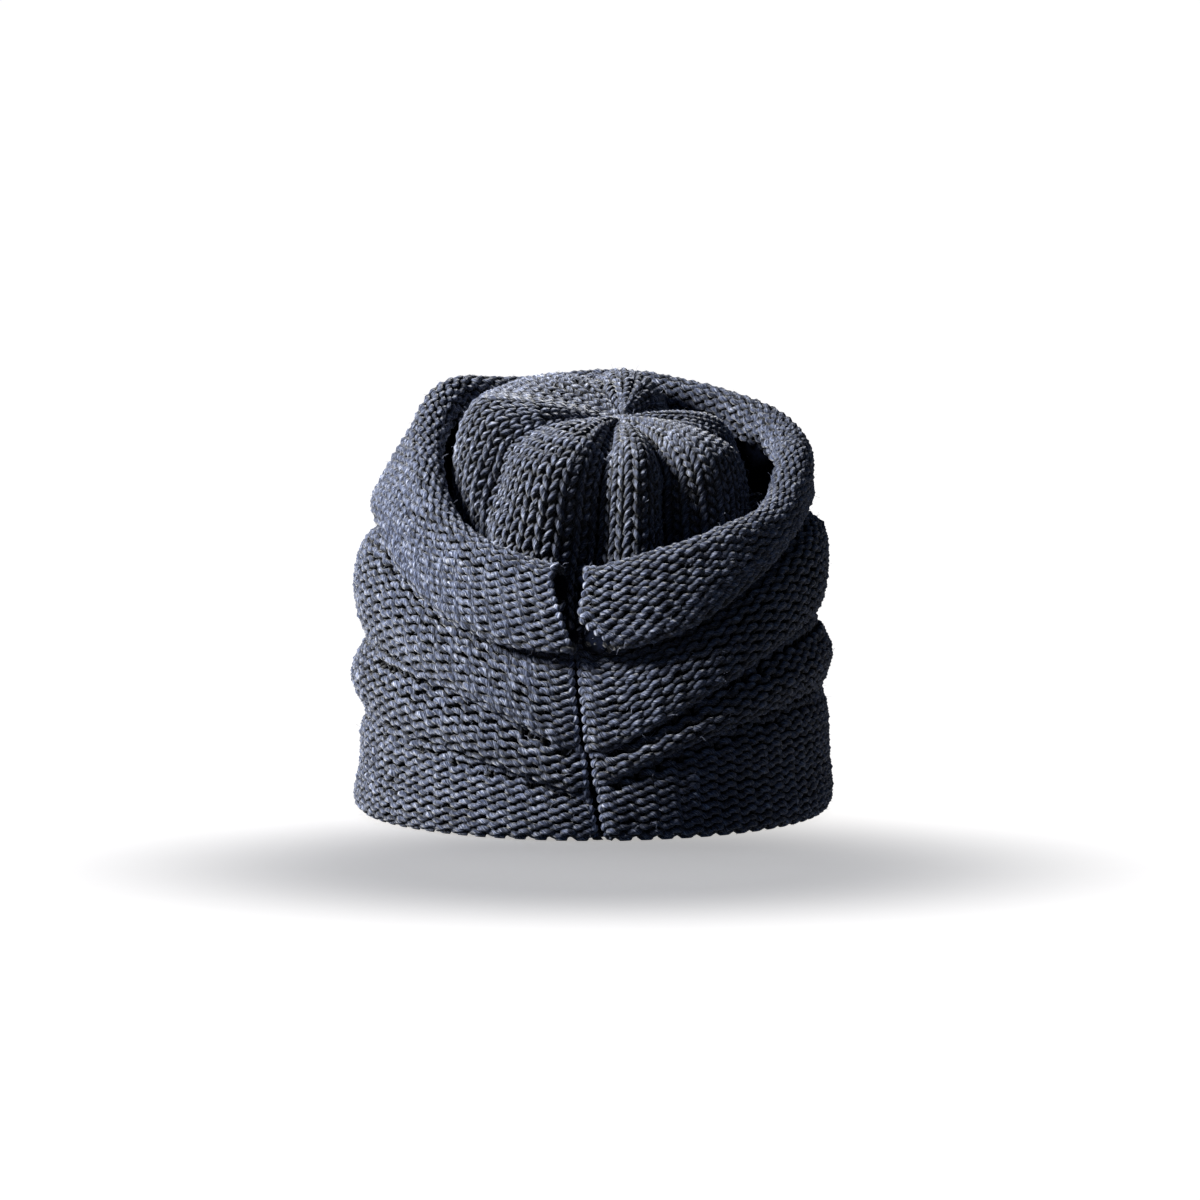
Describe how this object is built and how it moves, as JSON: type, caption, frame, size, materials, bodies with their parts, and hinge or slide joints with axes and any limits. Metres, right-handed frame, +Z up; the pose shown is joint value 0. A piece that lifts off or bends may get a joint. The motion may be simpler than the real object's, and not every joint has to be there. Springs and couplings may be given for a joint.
{
  "type": "slouch beanie",
  "caption": "Chunky knitted slouch beanie standing on its hem, with a ruched body, a rolled rim notched at the back seam and a crown gathered into lobes.",
  "frame": {"origin": "centre of the footprint on the ground, where the hem rests", "axes": "+Z up through the crown, -Y towards the back seam and the notch in the rim, +X to the right seen from the back"},
  "size_m": [0.191, 0.2034, 0.1718],
  "materials": {
    "body_knit": "chunky reverse stocking stitch in heathered charcoal yarn, matt",
    "crown_knit": "chunky stocking stitch in heathered charcoal yarn, matt"
  },
  "bodies": {
    "root": {"ruched_body": "body_knit", "gathered_crown": "crown_knit"}
  },
  "joints": []
}
